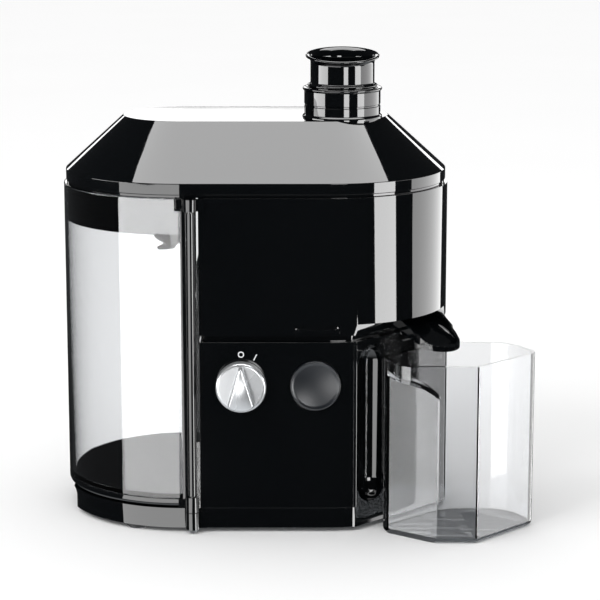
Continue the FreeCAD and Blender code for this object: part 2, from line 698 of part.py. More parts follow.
# ---- lid, feed chute and pusher --------------------------------------------------------------
RIM_R = END_R - LID_INSET
TOP_R = RIM_R - LID_SLOPE


@node("lid_cover")
def lid_cover():
    upper = tapered_stadium(RIM_R, RIM_TOP, TOP_R, LID_TOP)
    outer = stadium(RIM_R, RIM_BOTTOM, RIM_TOP).fuse(upper)
    inner = stadium(RIM_R - WALL, RIM_BOTTOM - 1, RIM_TOP).fuse(
        tapered_stadium(RIM_R - WALL, RIM_TOP - 0.01, TOP_R - 1.0, LID_TOP - WALL))
    lid = outer.cut(inner)
    ledge = stadium(RIM_R - 0.6, BOWL_TOP, RIM_BOTTOM + 2).cut(stadium(RIM_R - WALL, 200, 230))
    lid = lid.fuse(ledge)
    return lid.cut(post(CHUTE_R, 200, 300, CHUTE.x, CHUTE.y)).removeSplitter()


@node("feed_chute")
def feed_chute():
    r = CHUTE_R
    top = SLEEVE_TOP
    chute = turned([(CHUTE_BORE, 178), (23.2, 178), (23.2, 250), (r, 256), (r, 268.0), (r - 0.5, 268.3),
                    (r - 0.5, 268.9), (r, 269.2), (r, top - 2.0), (r + 0.9, top - 1.4), (r + 0.9, top - 0.4),
                    (r + 0.3, top), (CHUTE_BORE, top)], CHUTE.x, CHUTE.y)
    skirt = turned([(r, LID_TOP), (r + 1.2, LID_TOP), (r + 0.6, LID_TOP + 1.4), (r, LID_TOP + 1.6)],
                   CHUTE.x, CHUTE.y)
    return chute.fuse(skirt).removeSplitter()


@node("pusher")
def pusher():
    r = PUSHER_R
    inner = r - 1.8
    top = PUSHER_TOP
    return turned([(0, 168), (r - 1, 168), (r, 169), (r, SLEEVE_TOP + 0.3), (r + 1.9, SLEEVE_TOP + 0.3),
                   (r + 1.9, SLEEVE_TOP + 1.8), (r, SLEEVE_TOP + 2.6), (r, top - 5.0), (r + 0.7, top - 3.0),
                   (r + 3.0, top - 1.4), (r + 3.2, top - 0.6), (r + 3.0, top), (r + 1.2, top - 0.4),
                   (inner + 0.8, top - 3.4), (inner, top - 6.0), (inner, 171), (0, 171)],
                  CHUTE.x, CHUTE.y)


# ---- jug -------------------------------------------------------------------------------------
JUG_H = 115.0
JUG_WALL = 2.5
# outer corners in plan, each with the radius that rounds it
JUG_CORNERS = [(81.5, -74.0, 8.0), (90.0, -105.0, 12.0), (141.0, -105.0, 2.5), (182.0, -63.5, 10.0),
               (166.0, -34.0, 26.0), (124.0, -34.0, 26.0)]


def jug_plan(inset):
    """The jug's outline, moved inwards by inset, as a face at Z = 0."""
    points = [V(x, y, 0) for x, y, _ in JUG_CORNERS]
    outline = Part.Face(Part.makePolygon(points + points[:1])).extrude(V(0, 0, 1))
    for x, y, radius in JUG_CORNERS:
        outline = outline.makeFillet(radius, [e for e in outline.Edges if e.BoundBox.ZLength > 0.5
                                              and abs(e.BoundBox.Center.x - x) < 0.1
                                              and abs(e.BoundBox.Center.y - y) < 0.1])
    floor = [f for f in outline.Faces if f.BoundBox.ZMax < 0.01][0]
    wire = floor.OuterWire
    if inset:
        wire = wire.makeOffset2D(-inset)
    return Part.Face(wire)


def grip_zone(grow):
    """The hand recess in the jug's front-left corner: everything in front of a diagonal wall."""
    low_left, low_right = V(80.0 - grow, -78.0 + grow, -1), V(123.0 + grow, -110.0 + grow * 0.3, -1)
    points = [low_left, low_right, V(123.0 + grow, -120, -1), V(60, -120, -1), V(60, -78 + grow, -1)]
    zone = Part.Face(Part.makePolygon(points + points[:1])).extrude(V(0, 0, JUG_H + 2))
    # the ceiling is a quarter ellipse: full height at the left, dropping to the crease at the right
    ellipse = Part.Ellipse(V(0, 0, 0), 38.0 + grow, 27.0 + grow)
    arch = Part.Face(Part.Wire(ellipse.toShape())).extrude(V(0, 0, 80))
    arch.rotate(V(0, 0, 0), V(1, 0, 0), 90)
    arch.translate(V(85.0, -50, 78.0))
    under = arch.fuse(box(20, 123.0 + grow, -130, -50, -2, 78.0))
    return zone.common(under)


@node("juice_jug")
def juice_jug():
    outer = jug_plan(0).extrude(V(0, 0, JUG_H))
    outer = round_edges(outer, 3.5, lambda e: is_level(e, 0))
    inner = jug_plan(JUG_WALL).extrude(V(0, 0, JUG_H))
    inner.translate(V(0, 0, 3.0))
    outer = outer.cut(grip_zone(0))
    inner = inner.cut(grip_zone(JUG_WALL))
    jug = outer.cut(inner)
    return max(jug.Solids, key=lambda s: s.Volume)


# ---- switch knob and release button ----------------------------------------------------------
@node("knob")
def knob():
    front = -END_R
    disc = turned_y([(0, front - 0.5), (DIAL_R, front - 0.5), (DIAL_R, front - 7.0),
                     (DIAL_R - 1.2, front - 8.2),
                     (0, front - 8.2)], KNOB)
    return disc.cut(rod(3.0, V(KNOB.x, front, KNOB.z), V(KNOB.x, front - 6, KNOB.z)))


@node("knob_pointer")
def knob_pointer():
    """Tapered grip across the knob's face, pointing up at rest."""
    front = -END_R - 8.2
    points = [V(-8.6, 0, -13.6), V(8.6, 0, -13.6), V(1.8, 0, 14.6), V(-1.8, 0, 14.6)]
    grip = Part.Face(Part.makePolygon(points + points[:1])).extrude(V(0, -8.0, 0))
    grip = grip.makeFillet(1.0, [e for e in grip.Edges if abs(e.BoundBox.YMin + 8.0) < 0.01
                                 and e.BoundBox.YLength < 0.01 and e.BoundBox.ZLength > 20])
    grip.translate(V(KNOB.x, front, KNOB.z))
    return grip


@node("knob_shaft")
def knob_shaft():
    front = -END_R
    shaft = rod(3.0, V(KNOB.x, front - 6, KNOB.z), V(KNOB.x, front + 22, KNOB.z))
    return shaft.cut(box(KNOB.x + 1.6, KNOB.x + 5, front + 14, front + 23, KNOB.z - 5, KNOB.z + 5))


@node("switch_cam")
def switch_cam():
    y = -END_R + 14.0
    cam = rod(7.0, V(KNOB.x, y, KNOB.z), V(KNOB.x, y + 6, KNOB.z))
    cam = cam.fuse(box(KNOB.x - 3, KNOB.x + 3, y, y + 6, KNOB.z - 10, KNOB.z))
    cam = cam.cut(rod(3.0, V(KNOB.x, y - 1, KNOB.z), V(KNOB.x, y + 7, KNOB.z))
                  .cut(box(KNOB.x + 1.6, KNOB.x + 5, y - 2, y + 8, KNOB.z - 5, KNOB.z + 5)))
    return cam.removeSplitter()


@node("switch_body")
def switch_body():
    y = -END_R + WALL
    half = 13.0
    case = box(KNOB.x - half, KNOB.x + half, y, y + 30, KNOB.z - 16, KNOB.z + 13)
    inside = box(KNOB.x - half + WALL, KNOB.x + half - WALL, y + 2.5, y + 27.5, KNOB.z - 13.5, KNOB.z + 10.5)
    case = case.cut(inside)
    return case.cut(rod(3.05, V(KNOB.x, y - 2, KNOB.z), V(KNOB.x, y + 5, KNOB.z)))


@node("release_button")
def release_button():
    front = -END_R
    ball = Part.makeSphere(70.0, V(BUTTON.x, front - 1.6 - 68.4, BUTTON.z))
    cap = turned_y([(0, front + 2.0), (DIAL_R, front + 2.0), (DIAL_R, front - 1.4),
                    (DIAL_R - 0.6, front - 2.0), (0, front - 2.0)], BUTTON)
    return cap.cut(ball)


@node("button_stem")
def button_stem():
    front = -END_R
    stem = rod(3.0, V(BUTTON.x, front + 2.0, BUTTON.z), V(BUTTON.x, front + 16.0, BUTTON.z))
    foot = rod(5.0, V(BUTTON.x, front + 2.0, BUTTON.z), V(BUTTON.x, front + 3.2, BUTTON.z))
    return joined(stem, foot)


@node("button_guide")
def button_guide():
    """Frame behind the panel that the button's stem slides in."""
    y = -END_R + 12.0
    half = 19.0
    plate = box(BUTTON.x - half, BUTTON.x + half, y, y + 2.5, BUTTON.z - 10, BUTTON.z + 10)
    for side in (-1, 1):
        x0, x1 = sorted((BUTTON.x + side * 17.2, BUTTON.x + side * half))
        leg = box(x0, x1, -END_R + WALL, y, BUTTON.z - 10, BUTTON.z + 10)
        plate = plate.fuse(leg)
    hole = rod(3.06, V(BUTTON.x, y - 1, BUTTON.z), V(BUTTON.x, y + 4, BUTTON.z))
    return plate.removeSplitter().cut(hole).cut(NODES["front_panel"]).cut(NODES["motor_housing"])


def coil_spring(wire_r, coil_r, length, turns):
    """A compression spring along +Z from the origin."""
    helix = Part.makeHelix(length / turns, length, coil_r)
    start = V(coil_r, 0, 0)
    circle = Part.Wire(Part.makeCircle(wire_r, start, V(0, 1, 0)))
    return Part.Wire(helix.Edges).makePipeShell([circle], True, True)


@node("button_spring")
def button_spring():
    spring = coil_spring(0.4, 4.2, 4.0, 4)
    spring.rotate(V(0, 0, 0), V(1, 0, 0), -90)
    spring.translate(V(BUTTON.x, -END_R + 7.5, BUTTON.z))
    return spring


@node("latch_spring")
def latch_spring():
    """Leaf spring behind the latch tab, standing on the collector's floor."""
    y = -END_R + 7.4
    low = BOWL_BOTTOM + WALL
    leaf = box(32, 48, y, y + 0.5, low, low + 4)
    feet = [box(x, x + 2, y + 0.5, y + 3.0, low, low + 4) for x in (32, 46)]
    return joined(leaf, *feet)


@node("interlock_switch")
def interlock_switch():
    case = box(-30, -10, 36, 46, 104, 121)
    lever = box(-28, -12, 40, 42, 121, 121.8)
    return joined(case, lever)


# ---- placing and writing ---------------------------------------------------------------------
def main():
    whole = Part.makeCompound(list(NODES.values()))
    extent = whole.optimalBoundingBox(False, False)
    shift = V(-(extent.XMin + extent.XMax) / 2, -(extent.YMin + extent.YMax) / 2, 0)
    os.makedirs("parts", exist_ok=True)
    for name, shape in NODES.items():
        placed = shape.copy()
        placed.translate(shift)
        placed.exportStep("parts/" + name + ".step")
    print("moved by", round(shift.x, 4), round(shift.y, 4), "size", round(extent.XLength, 2),
          round(extent.YLength, 2), round(extent.ZLength, 2), "from z", round(extent.ZMin, 3))
    for name, shape in NODES.items():
        if not shape.isValid():
            print("not valid:", name)


main()
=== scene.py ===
import math

import bmesh
import bpy
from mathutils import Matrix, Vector


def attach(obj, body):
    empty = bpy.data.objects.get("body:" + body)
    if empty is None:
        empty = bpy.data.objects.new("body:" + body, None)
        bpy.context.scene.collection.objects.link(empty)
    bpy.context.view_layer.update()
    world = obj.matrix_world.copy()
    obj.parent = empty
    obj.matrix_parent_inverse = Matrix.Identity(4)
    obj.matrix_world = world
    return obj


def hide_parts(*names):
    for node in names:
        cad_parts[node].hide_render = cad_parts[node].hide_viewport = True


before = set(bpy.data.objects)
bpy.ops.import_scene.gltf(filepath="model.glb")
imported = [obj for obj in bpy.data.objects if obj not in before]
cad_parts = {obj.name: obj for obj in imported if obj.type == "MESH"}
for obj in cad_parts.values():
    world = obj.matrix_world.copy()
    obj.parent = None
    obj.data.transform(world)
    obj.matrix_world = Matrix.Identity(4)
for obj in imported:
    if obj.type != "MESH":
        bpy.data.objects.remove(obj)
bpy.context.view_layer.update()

MM = 0.001
ORIGIN = Vector((-26.8368, 12.5, 0.0))    # where the drawing's own origin stands in the row frame, mm

# the main dimensions, in mm and in the drawing's own frame, as in the CAD source
END_R, END_X, WALL = 80.0, 46.0, 2.5
BOWL_TOP = 217.0                         # top of the collector and of the pulp container
RIM_BOTTOM, RIM_TOP, LID_TOP = 219.0, 226.0, 260.5
LID_INSET, LID_SLOPE = 1.5, 38.0         # the rim's step in from the body, and the slope's run
CONTAINER_RIGHT = -37.0
CHUTE, CHUTE_R, PUSHER_R = (56.5, -14.4), 24.7, 20.7
KNOB, BUTTON, DIAL_R = (-8.3, 97.0), (38.9, 97.0), 16.0

MERGE = 1e-6             # vertices closer than this, in metres, are one
FACE_WEIGHT = 90         # how strongly large faces set the shading normals
PLASTIC_IOR, CLEAR_IOR = 1.5, 1.49


def at(x, y, z):
    """A point of the drawing, in metres in the row frame."""
    return (Vector((x, y, z)) + ORIGIN) * MM


# ---- node materials ---------------------------------------------------------------------------
def new_material(name):
    """A material with its node lists and its surface shader."""
    mat = bpy.data.materials.new(name)
    mat.use_nodes = True
    nodes = mat.node_tree.nodes
    shader = next(n for n in nodes if n.type == "BSDF_PRINCIPLED")
    return mat, nodes, mat.node_tree.links, shader


def noise(nodes, links, scale, detail=3.0, stretch=(1.0, 1.0, 1.0)):
    """Noise in the object's own space, in metres."""
    coords = nodes.new("ShaderNodeTexCoord")
    mapping = nodes.new("ShaderNodeMapping")
    mapping.inputs["Scale"].default_value = stretch
    texture = nodes.new("ShaderNodeTexNoise")
    texture.inputs["Scale"].default_value = scale
    texture.inputs["Detail"].default_value = detail
    links.new(coords.outputs["Object"], mapping.inputs["Vector"])
    links.new(mapping.outputs["Vector"], texture.inputs["Vector"])
    return texture.outputs["Fac"]


def ramp(nodes, links, value, start, end, low, high):
    """Low to high as value goes from start to end."""
    node = nodes.new("ShaderNodeMapRange")
    node.inputs["From Min"].default_value = start
    node.inputs["From Max"].default_value = end
    node.inputs["To Min"].default_value = low
    node.inputs["To Max"].default_value = high
    links.new(value, node.inputs["Value"])
    return node.outputs["Result"]


def spread(nodes, links, noise_value, low, high):
    """Stretches a noise's usual range to low to high."""
    return ramp(nodes, links, noise_value, 0.3, 0.7, low, high)


def blend(nodes, links, value, first, second):
    """A colour between two shades, as value goes from 0 to 1."""
    node = nodes.new("ShaderNodeMix")
    node.data_type = "RGBA"
    node.inputs["A"].default_value = (*first, 1.0)
    node.inputs["B"].default_value = (*second, 1.0)
    links.new(value, node.inputs["Factor"])
    return node.outputs["Result"]


def bump(nodes, links, shader, height, distance, strength=1.0):
    """Fine relief, distance metres deep."""
    node = nodes.new("ShaderNodeBump")
    node.inputs["Distance"].default_value = distance
    node.inputs["Strength"].default_value = strength
    links.new(height, node.inputs["Height"])
    links.new(node.outputs["Normal"], shader.inputs["Normal"])


def plastic(name, first, second, rough, grain=900.0, depth=0.0, metallic=0.0):
    """Moulded or painted surface: two close shades, uneven gloss and, if depth is set, a fine grain."""
    mat, nodes, links, shader = new_material(name)
    shader.inputs["IOR"].default_value = PLASTIC_IOR
    shader.inputs["Metallic"].default_value = metallic
    wide = noise(nodes, links, 22.0)
    links.new(blend(nodes, links, wide, first, second), shader.inputs["Base Color"])
    links.new(spread(nodes, links, wide, *rough), shader.inputs["Roughness"])
    if depth:
        bump(nodes, links, shader, noise(nodes, links, grain, 2.0), depth)
    return mat


def metal(name, first, second, rough, stretch=(1.0, 1.0, 1.0), scale=400.0, depth=0.00002):
    """Metal with drawn or turned marks along the least stretched direction."""
    mat, nodes, links, shader = new_material(name)
    shader.inputs["Metallic"].default_value = 1.0
    marks = noise(nodes, links, scale, 4.0, stretch)
    links.new(blend(nodes, links, marks, first, second), shader.inputs["Base Color"])
    links.new(spread(nodes, links, marks, *rough), shader.inputs["Roughness"])
    bump(nodes, links, shader, marks, depth, 0.4)
    return mat


def clear_plastic(name, tint, rough, depth_colour, density):
    """Clear moulded plastic with a very slight haze, darker where it is seen edge on."""
    mat, nodes, links, shader = new_material(name)
    absorb = nodes.new("ShaderNodeVolumeAbsorption")
    absorb.inputs["Color"].default_value = (*depth_colour, 1.0)
    absorb.inputs["Density"].default_value = density
    output = next(n for n in nodes if n.type == "OUTPUT_MATERIAL")
    links.new(absorb.outputs["Volume"], output.inputs["Volume"])
    shader.inputs["Transmission Weight"].default_value = 1.0
    shader.inputs["IOR"].default_value = CLEAR_IOR
    shader.inputs["Base Color"].default_value = (*tint, 1.0)
    wide = noise(nodes, links, 30.0)
    links.new(spread(nodes, links, wide, *rough), shader.inputs["Roughness"])
    return mat


MATERIALS = {
    "gloss_black": plastic("gloss_black", (0.0015, 0.002, 0.0025), (0.0025, 0.003, 0.0035),
                           (0.02, 0.045)),
    "satin_black": plastic("satin_black", (0.008, 0.010, 0.013), (0.011, 0.013, 0.017), (0.30, 0.36),
                           2600.0, 0.00001),
    "rubber": plastic("rubber", (0.012, 0.012, 0.013), (0.02, 0.02, 0.021), (0.6, 0.75),
                      1400.0, 0.00004),
    "inner_plastic": plastic("inner_plastic", (0.03, 0.03, 0.032), (0.045, 0.045, 0.048), (0.35, 0.5),
                             1600.0, 0.00002),
    "white_plastic": plastic("white_plastic", (0.75, 0.75, 0.73), (0.82, 0.82, 0.80), (0.25, 0.35),
                             1500.0, 0.00001),
    "print_white": plastic("print_white", (0.75, 0.76, 0.78), (0.85, 0.86, 0.88), (0.35, 0.5)),
    "capacitor_yellow": plastic("capacitor_yellow", (0.65, 0.42, 0.03), (0.75, 0.5, 0.05), (0.3, 0.4)),
    "silver": plastic("silver", (0.46, 0.47, 0.48), (0.54, 0.55, 0.56), (0.24, 0.34), 3000.0, 0.000006,
                      metallic=0.55),
    "screw_steel": metal("screw_steel", (0.42, 0.42, 0.43), (0.55, 0.55, 0.56), (0.25, 0.4)),
    "shaft_steel": metal("shaft_steel", (0.5, 0.5, 0.51), (0.62, 0.62, 0.63), (0.15, 0.3), (1, 1, 14)),
    "spring_steel": metal("spring_steel", (0.35, 0.35, 0.36), (0.5, 0.5, 0.5), (0.25, 0.4)),
    "stainless": metal("stainless", (0.55, 0.55, 0.55), (0.68, 0.68, 0.68), (0.14, 0.26), (1, 1, 10)),
    "lamination": metal("lamination", (0.16, 0.16, 0.17), (0.3, 0.3, 0.31), (0.35, 0.5),
                        (0.2, 0.2, 9.0)),
    "copper": metal("copper", (0.55, 0.22, 0.09), (0.72, 0.32, 0.15), (0.25, 0.4), (0.5, 0.5, 8.0)),
    "cast_alloy": metal("cast_alloy", (0.38, 0.38, 0.39), (0.5, 0.5, 0.51), (0.4, 0.6), scale=700.0),
    "bronze": metal("bronze", (0.42, 0.26, 0.1), (0.55, 0.36, 0.16), (0.35, 0.5)),
    "brass": metal("brass", (0.65, 0.48, 0.18), (0.78, 0.6, 0.26), (0.2, 0.35)),
    "carbon": plastic("carbon", (0.015, 0.015, 0.015), (0.03, 0.03, 0.03), (0.5, 0.7), 2500.0, 0.00003),
    "clear_smoke": clear_plastic("clear_smoke", (0.985, 0.99, 0.995), (0.0, 0.008),
                                 (0.34, 0.37, 0.42), 30.0),
    "clear": clear_plastic("clear", (0.985, 0.988, 0.992), (0.0, 0.006), (0.3, 0.33, 0.38), 45.0),
}

for node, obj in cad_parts.items():
    for material_slot in obj.material_slots:
        slot_name = material_slot.material.name.split(".")[0]
        material_slot.material = MATERIALS[slot_name]


# ---- mesh helpers -----------------------------------------------------------------------------
def linked(name, data):
    """A new object in the scene."""
    obj = bpy.data.objects.new(name, data)
    bpy.context.collection.objects.link(obj)
    return obj


def closed_mesh(name, verts, faces):
    """A mesh with its doubled vertices merged and its faces turned outwards."""
    mesh = bpy.data.meshes.new(name)
    mesh.from_pydata([tuple(v) for v in verts], [], faces)
    work = bmesh.new()
    work.from_mesh(mesh)
    bmesh.ops.remove_doubles(work, verts=work.verts, dist=MERGE)
    bmesh.ops.recalc_face_normals(work, faces=work.faces)
    work.to_mesh(mesh)
    work.free()
    return mesh


def piece(name, verts, faces, slot, body, nodes=(), bevel=0.0, limit=30.0, segments=3):
    """A mesh piece in a material slot, riding on a body and standing for CAD nodes."""
    mesh = closed_mesh(name, verts, faces)
    obj = linked(name, mesh)
    mesh.materials.append(MATERIALS[slot])
    mesh.shade_smooth()
    if bevel:
        mod = obj.modifiers.new("edges", "BEVEL")
        mod.width = bevel * MM
        mod.segments = segments
        mod.limit_method = "ANGLE"
        mod.angle_limit = math.radians(limit)
    else:
        mesh.set_sharp_from_angle(angle=math.radians(limit))
    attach(obj, body)
    if nodes:
        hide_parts(*nodes)
    return obj


def weigh(obj):
    """Keeps large flat faces flat where they meet rounded edges."""
    mod = obj.modifiers.new("normals", "WEIGHTED_NORMAL")
    mod.keep_sharp = True
    mod.weight = FACE_WEIGHT
    return obj


def cut(obj, verts, faces, name):
    """Cuts a closed shape out of a piece, and returns the shape."""
    tool = linked(name, closed_mesh(name, verts, faces))
    mod = obj.modifiers.new(name, "BOOLEAN")
    mod.operation = "DIFFERENCE"
    mod.solver = "EXACT"
    mod.object = tool
    return tool


def settle(obj, tool):
    """Turns a piece's modifiers into its mesh and removes the shape that cut it."""
    bpy.context.view_layer.update()
    graph = bpy.context.evaluated_depsgraph_get()
    made = bpy.data.meshes.new_from_object(obj.evaluated_get(graph))
    obj.modifiers.clear()
    obj.data = made
    made.shade_smooth()
    made.set_sharp_from_angle(angle=math.radians(30.0))
    bpy.data.objects.remove(tool)
    return obj


def loft(loops, close_start=True, close_end=True):
    """Vertices and faces that join loops of equal length, with flat ends."""
    n = len(loops[0])
    verts = [at(*p) for loop in loops for p in loop]
    faces = []
    for k in range(len(loops) - 1):
        for i in range(n):
            j = (i + 1) % n
            faces.append((k * n + i, k * n + j, (k + 1) * n + j, (k + 1) * n + i))
    if close_start:
        faces.append(tuple(range(n - 1, -1, -1)))
    if close_end:
        faces.append(tuple(range((len(loops) - 1) * n, len(loops) * n)))
    return verts, faces


def rounded(corners, inset, steps=10):
    """A convex outline with rounded corners (x, y, radius), moved in by inset on every side."""
    n = len(corners)
    points = []
    for i in range(n):
        a, b, c = (Vector(corners[(i + k) % n][:2]) for k in (-1, 0, 1))
        r = max(corners[i][2] - inset, 0.05)
        u, v = (b - a).normalized(), (c - b).normalized()
        turn = math.acos(max(-1.0, min(1.0, u.dot(v))))
        left_u, left_v = Vector((-u.y, u.x)), Vector((-v.y, v.x))
        half = math.tan(turn / 2)
        inner = b + left_u * inset + u * (-inset * half)    # the offset lines' crossing
        start = inner - u * (r * half)
        centre = start + left_u * r
        count = max(2, int(round(steps * turn / (math.pi / 2) * (3 if r > 30 else 1))))
        for k in range(count + 1):
            t = turn * k / count
            d = -left_u * math.cos(t) + u * math.sin(t)
            points.append((centre.x + d.x * r, centre.y + d.y * r))
    return points


def level(points, z):
    """An outline at one height."""
    return [(x, y, z) for x, y in points]


def turn_y(profile, cx, cz, n=96):
    """Loops round an axis along Y through (cx, cz), from (radius, y) pairs."""
    return [[(cx + r * math.sin(2 * math.pi * i / n), y, cz + r * math.cos(2 * math.pi * i / n))
             for i in range(n)] for r, y in profile]


def turn_z(profile, cx, cy, n=96):
    """Loops round an upright axis, from (radius, z) pairs."""
    return [[(cx + r * math.cos(2 * math.pi * i / n), cy + r * math.sin(2 * math.pi * i / n), z)
             for i in range(n)] for r, z in profile]


STADIUM = [(-END_X - END_R, -END_R, END_R), (END_X + END_R, -END_R, END_R),
           (END_X + END_R, END_R, END_R), (-END_X - END_R, END_R, END_R)]


def profile_loops(corners, pairs):
    """Rounded outlines from (inset, height) pairs."""
    return [level(rounded(corners, inset), z) for inset, z in pairs]


def soften(node, width, limit=35.0, segments=3):
    """Small rounded edges on a CAD node, as its moulding has."""
    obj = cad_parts[node]
    weld = obj.modifiers.new("weld", "WELD")
    weld.merge_threshold = MERGE
    edges = obj.modifiers.new("edges", "BEVEL")
    edges.width = width * MM
    edges.segments = segments
    edges.limit_method = "ANGLE"
    edges.angle_limit = math.radians(limit)
    edges.miter_outer = "MITER_ARC"
    normals = obj.modifiers.new("normals", "WEIGHTED_NORMAL")
    normals.weight = FACE_WEIGHT
    normals.keep_sharp = False


# rounded edges of the CAD nodes that show, in mm
SOFT_EDGES = {"juice_collector": 1.2, "motor_housing": 1.0, "front_panel": 0.8, "base_plate": 0.9,
              "container_tray": 0.8, "container_hinge_strip": 0.35, "latch_tab": 0.6,
              "pulp_container": 0.7, "juice_spout": 0.7, "hinge_top_bracket": 0.4}
for node, width in SOFT_EDGES.items():
    soften(node, width)


# ---- lid, chute and pusher --------------------------------------------------------------------
def lid_shell():
    """Outer rim and slope, flat top, inner slope and rim, as one closed surface."""
    top_in, inside = LID_INSET + LID_SLOPE, LID_INSET + 2.6
    profile = [(2.1, BOWL_TOP), (2.1, RIM_BOTTOM), (LID_INSET, RIM_BOTTOM), (LID_INSET, RIM_TOP),
               (top_in, LID_TOP), (top_in + 1.2, LID_TOP - 2.3), (inside, RIM_TOP - 0.6), (inside, BOWL_TOP)]
    outer_top, inner_top, last = 4, 5, len(profile) - 1
    verts, faces = loft(profile_loops(STADIUM, profile), False, False)
    n = len(rounded(STADIUM, 0.0))
    faces.append(tuple(range(outer_top * n, inner_top * n)))
    faces.append(tuple(range((inner_top + 1) * n - 1, inner_top * n - 1, -1)))
    faces = [f for f in faces if not (len(f) == 4 and f[0] // n == outer_top and f[2] // n == inner_top)]
    faces += [(last * n + i, last * n + (i + 1) % n, (i + 1) % n, i) for i in range(n)]
    return verts, faces


def make_lid():
    lid = piece("lid", *lid_shell(), "gloss_black", "lid", ["lid_cover"], bevel=0.7, limit=25.0, segments=4)
    hole = cut(lid, *loft(turn_z([(CHUTE_R, 200.0), (CHUTE_R, 300.0)], *CHUTE)), "lid_hole")
    weigh(settle(lid, hole))


def make_chute():
    """The sleeve round the pusher, with its skirt on the lid and a bead near the top."""
    r, bore, low = CHUTE_R, 21.2, 23.2
    profile = [(bore, 178), (low, 178), (low, 250), (r, 256), (r, LID_TOP - 0.2), (r + 1.2, LID_TOP - 0.2),
               (r + 1.2, LID_TOP + 0.9), (r + 0.8, LID_TOP + 1.5), (r + 0.1, LID_TOP + 1.9),
               (r, LID_TOP + 2.4), (r, 267.8), (r - 0.5, 268.2), (r - 0.5, 268.9), (r, 269.3), (r, 277.6),
               (r + 0.5, 278.0), (r + 0.9, 278.5), (r + 1.0, 279.1), (r + 0.8, 279.7), (r + 0.3, 280.0),
               (21.9, 280.0), (bore, 279.3)]
    loops = turn_z(profile, *CHUTE, n=128)
    verts, faces = loft(loops + [loops[0]], False, False)
    weigh(piece("chute", verts, faces, "gloss_black", "lid", ["feed_chute"], limit=50.0))


def make_pusher():
    """A hollow cup with a flared lip that rises towards the back."""
    r = PUSHER_R
    profile = [(0.02, 168), (r - 1, 168), (r, 169), (r, 280.2), (r + 1.5, 280.3), (r + 1.9, 280.7),
               (r + 1.9, 281.4), (r + 1.5, 281.9), (r + 0.3, 282.4), (r, 283.2), (r, 296.0),
               (r + 0.25, 297.3), (r + 0.9, 298.4), (r + 2.2, 299.2), (r + 3.0, 299.6), (r + 3.2, 300.2),
               (r + 2.9, 300.8), (r + 2.2, 301.0), (r + 1.0, 300.6), (r - 0.4, 299.6), (r - 1.2, 298.0),
               (r - 1.8, 295.0), (r - 1.8, 171.5), (r - 2.3, 171.0), (0.02, 171.0)]
    lip_rise, lip_r, lip_from, lip_height = 2.8, r + 3.2, 290.0, 9.0
    loops = [[(x, y, z + lip_rise * (y - CHUTE[1]) / lip_r * max(0.0, min(1.0, (z - lip_from) / lip_height)))
              for x, y, z in loop] for loop in turn_z(profile, *CHUTE, n=128)]
    verts, faces = loft(loops)
    weigh(piece("pusher_tube", verts, faces, "gloss_black", "pusher", ["pusher"], limit=50.0))


make_lid()
make_chute()
make_pusher()


# ---- splash collar inside the container --------------------------------------------------------
COLLAR_OUT, COLLAR_IN, COLLAR_RIGHT = END_R - WALL - 0.25, END_R - WALL - 1.6, CONTAINER_RIGHT - 9.2


def collar_loop(r, z):
    """An open U round the container's left end, as one side of the collar."""
    steps = 96
    points = [(COLLAR_RIGHT, -r, z)]
    for k in range(steps + 1):
        t = math.radians(-90.0 - 180.0 * k / steps)
        points.append((-END_X + r * math.cos(t), r * math.sin(t), z))
    points.append((COLLAR_RIGHT, r, z))
    return points


def strip_solid(outer_low, outer_high, inner_high, inner_low):
    """A thin wall between four open lines of equal length, closed at both ends."""
    n = len(outer_low)
    verts = [at(*p) for line in (outer_low, outer_high, inner_high, inner_low) for p in line]
    faces = []
    for i in range(n - 1):
        for a in range(4):
            b = (a + 1) % 4
            faces.append((a * n + i, a * n + i + 1, b * n + i + 1, b * n + i))
    faces.append((0, n, 2 * n, 3 * n))
    faces.append((n - 1, 4 * n - 1, 3 * n - 1, 2 * n - 1))
    return verts, faces


def make_collar():
    low, high = 193.5, 216.8
    wall = strip_solid(collar_loop(COLLAR_OUT, low), collar_loop(COLLAR_OUT, high),
                       collar_loop(COLLAR_IN, high), collar_loop(COLLAR_IN, low))
    weigh(piece("splash_collar", *wall, "gloss_black", "container", ["container_collar"], bevel=0.3))


def make_collar_lip():
    """The hooked drip lip below the collar, beside the hinge."""
    outline = [(-62.5, 194.1), (-62.0, 192.0), (-59.6, 190.2), (-56.4, 188.6), (-57.4, 187.6),
               (-60.2, 186.5), (-60.6, 185.2), (-59.6, 184.3), (-55.0, 184.4), (-50.0, 185.0),
               (COLLAR_RIGHT, 189.8), (COLLAR_RIGHT, 194.1)]
    verts, faces = loft([[(x, y, z) for x, z in outline] for y in (-COLLAR_OUT, 1.35 - COLLAR_OUT)])
    piece("collar_lip", verts, faces, "gloss_black", "container", (), bevel=0.3)


make_collar()
make_collar_lip()


# ---- knob and button --------------------------------------------------------------------------
def make_knob_disc():
    r = DIAL_R
    profile = [(0.05, -80.4), (r - 0.5, -80.4), (r, -80.9), (r, -86.6), (r - 0.35, -87.5), (r - 1.2, -88.1),
               (r - 2.2, -88.2), (0.05, -88.2)]
    verts, faces = loft(turn_y(profile, *KNOB, 128))
    weigh(piece("knob_disc", verts, faces, "silver", "knob", ["knob"], limit=40.0))


def pointer_loop(grow, y):
    """Wedge outline seen from the front, wide at its low end and narrow at its top."""
    x, z = KNOB
    low, high = z - 13.6, z + 14.6
    low_half, high_half = 8.6 + grow, 1.8 + grow
    points = []
    for k in range(13):
        t = math.pi * k / 12
        points.append((x - low_half * math.cos(t), y, low + 4.0 - (4.0 + grow) * math.sin(t)))
    for k in range(9):
        t = math.pi * k / 8
        points.append((x + high_half * math.cos(t), y, high - 1.8 + (1.8 + grow) * math.sin(t)))
    return points


